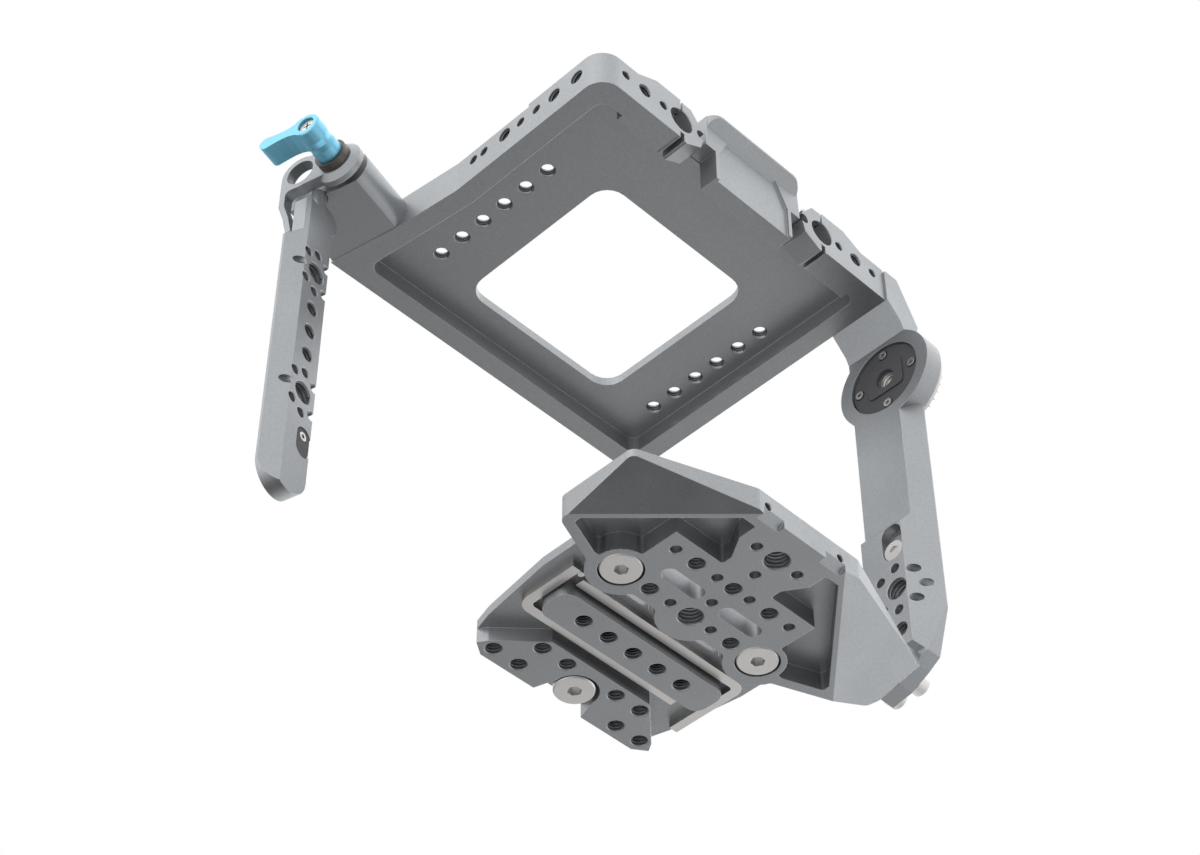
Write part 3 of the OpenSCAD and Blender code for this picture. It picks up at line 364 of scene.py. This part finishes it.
# Rosette insert, its pad and the bush's thread
# A black moulded plate in the arm's round recess, with a raised pad that has rounded corners.
# The steel bush behind it is threaded right through.
dark_insert = metal(
    "dark_insert", colour=(0.05, 0.05, 0.055), grain_colour=(0.07, 0.07, 0.075),
    metallic=0.0, roughness=0.6,
    grain_size=2000.0, grain_depth=0.05 * mm, edge_radius=0.2 * mm,
)
finish_node("rosette_insert", dark_insert)
insert_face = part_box("rosette_insert")[0][0]
bush_low, bush_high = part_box("rosette_bush")
bush_y = (bush_low[1] + bush_high[1]) / 2
bush_z = (bush_low[2] + bush_high[2]) / 2
pad_rise = 0.7 * mm
pad_half = (9.2 * mm, 7.6 * mm)
pad_corner = 2.4 * mm
pad_hole = 4.6 * mm
pad_steps = 48
pad = bmesh.new()
loops = []
for depth in (0.0, pad_rise):
    outer, inner = [], []
    for step in range(pad_steps):
        angle = 2 * math.pi * (step + 0.5) / pad_steps
        way = Vector((math.cos(angle), math.sin(angle)))
        reach = min(half / abs(part) for half, part in zip(pad_half, way))
        point = way * reach
        for axis in (0, 1):
            keep = pad_half[axis] - pad_corner
            point[axis] = max(-keep, min(keep, point[axis]))
        rest = way * reach - point
        point += rest.normalized() * min(rest.length, pad_corner) if rest.length else rest
        x = insert_face - depth
        outer.append(pad.verts.new((x, bush_y + point[0], bush_z + point[1])))
        inner.append(pad.verts.new((x, bush_y + pad_hole * way[0], bush_z + pad_hole * way[1])))
    loops.append((outer, inner))
for step in range(pad_steps):
    after = (step + 1) % pad_steps
    (low_out, low_in), (high_out, high_in) = loops
    pad.faces.new((high_out[step], high_out[after], high_in[after], high_in[step]))
    pad.faces.new((low_out[step], low_in[step], low_in[after], low_out[after]))
    pad.faces.new((low_out[step], low_out[after], high_out[after], high_out[step]))
    pad.faces.new((low_in[step], high_in[step], high_in[after], low_in[after]))
bmesh.ops.recalc_face_normals(pad, faces=pad.faces)
pad_mesh = bpy.data.meshes.new("rosette_pad")
pad.to_mesh(pad_mesh)
pad.free()
pad_mesh.materials.append(dark_insert)
pad_object = bpy.data.objects.new("rosette_pad", pad_mesh)
bpy.context.scene.collection.objects.link(pad_object)
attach(pad_object, "cage")
bush_mouth = (bush_low[0], bush_y, bush_z)
bush_deep = bush_high[0] - bush_low[0]
bright_thread = {**small_thread, "Material": steel}
threads("bush_thread", [bush_mouth], outward, bush_deep, bright_thread)

# Top plate and nose
# One milled ring of grey aluminium with a thin web and two rod clamps, its nose a separate piece.
# Threads go into its front rim, its left side and, in two rows of six, its web.
finish_node("top_plate", grey_anodised)
finish_node("nose", grey_anodised)
rearward = (0.0, 1.0, 0.0)
top_front = -42.3 * mm
top_left = -87.2 * mm
top_line = 211.2 * mm
rim_deep = 9 * mm
front_off = 42.1 * mm + 1.66 * grid
front_mouths = [(side * front_off, top_front, top_line) for side in (-1, 1)]
threads("top_front_threads", front_mouths, rearward, rim_deep, small_thread)
left_offs = (14.7 * mm, 14.7 * mm + grid, 55.9 * mm)
left_mouths = [(top_left, top_front + off, top_line) for off in left_offs]
threads("top_side_threads", left_mouths, outward, rim_deep, small_thread)
web_x = 63.5 * mm
web_low = 208.0 * mm
web_deep = 4.5 * mm
web_mouths = [(side * web_x, step * grid, web_low) for side in (-1, 1) for step in range(1, 7)]
threads("top_web_threads", web_mouths, up, web_deep, small_thread)

# Lever clamp
# A grey aluminium block and a jaw with a strap eye, drawn together by a steel bolt.
# A burnished dark washer lies between the jaw and the lever.
finish_node("clamp_block", grey_anodised)
finish_node("jaw", grey_anodised)
washer_dark = metal(
    "washer_dark", colour=(0.10, 0.088, 0.078), grain_colour=(0.14, 0.125, 0.11),
    metallic=0.7, roughness=0.45,
    grain_size=1500.0, grain_depth=0.04 * mm, edge_radius=0.2 * mm,
)
finish_node("clamp_washer", washer_dark)

# Side arm
# A flat milled arm of grey aluminium that hangs by its post in the lever clamp.
# It has two large and three small threads, and a black insert held by one screw.
finish_node("side_arm", grey_anodised)
finish_node("side_insert", dark_insert)
clamp_y = 50.5 * mm
clamp_turn = math.radians(14.5)
clamp_frame = Matrix.Translation((0.0, clamp_y, 0.0)) @ Matrix.Rotation(clamp_turn, 4, "Z")
arm_way = clamp_frame.to_3x3() @ Vector((0.0, 1.0, 0.0))
side_mid = -111.7 * mm
side_face = 60.0 * mm
side_deep = 7.2 * mm
side_high_z = 152.3 * mm
side_low_z = 85.3 * mm
side_small_z = side_high_z - 20.7 * mm


def on_side_arm(height):
    """A place on the side arm's hole line, at its front face."""
    return clamp_frame @ Vector((side_mid, side_face, height))


large_mouths = [on_side_arm(height) for height in (side_high_z, side_low_z)]
threads("side_large_threads", large_mouths, arm_way, side_deep, large_thread, body="side_arm")
small_mouths = [on_side_arm(side_small_z - row * grid) for row in range(3)]
threads("side_small_threads", small_mouths, arm_way, side_deep, small_thread, body="side_arm")

# Lever
# A turned and milled aluminium lever with a round hub, anodised light blue.
# One screw holds it on the clamp's bolt.
blue_anodised = metal(
    "blue_anodised", colour=(0.19, 0.54, 0.73), grain_colour=(0.25, 0.63, 0.82),
    metallic=0.6, roughness=0.40,
    grain_size=2200.0, grain_depth=0.04 * mm, edge_radius=0.4 * mm,
)
finish_node("lever", blue_anodised)
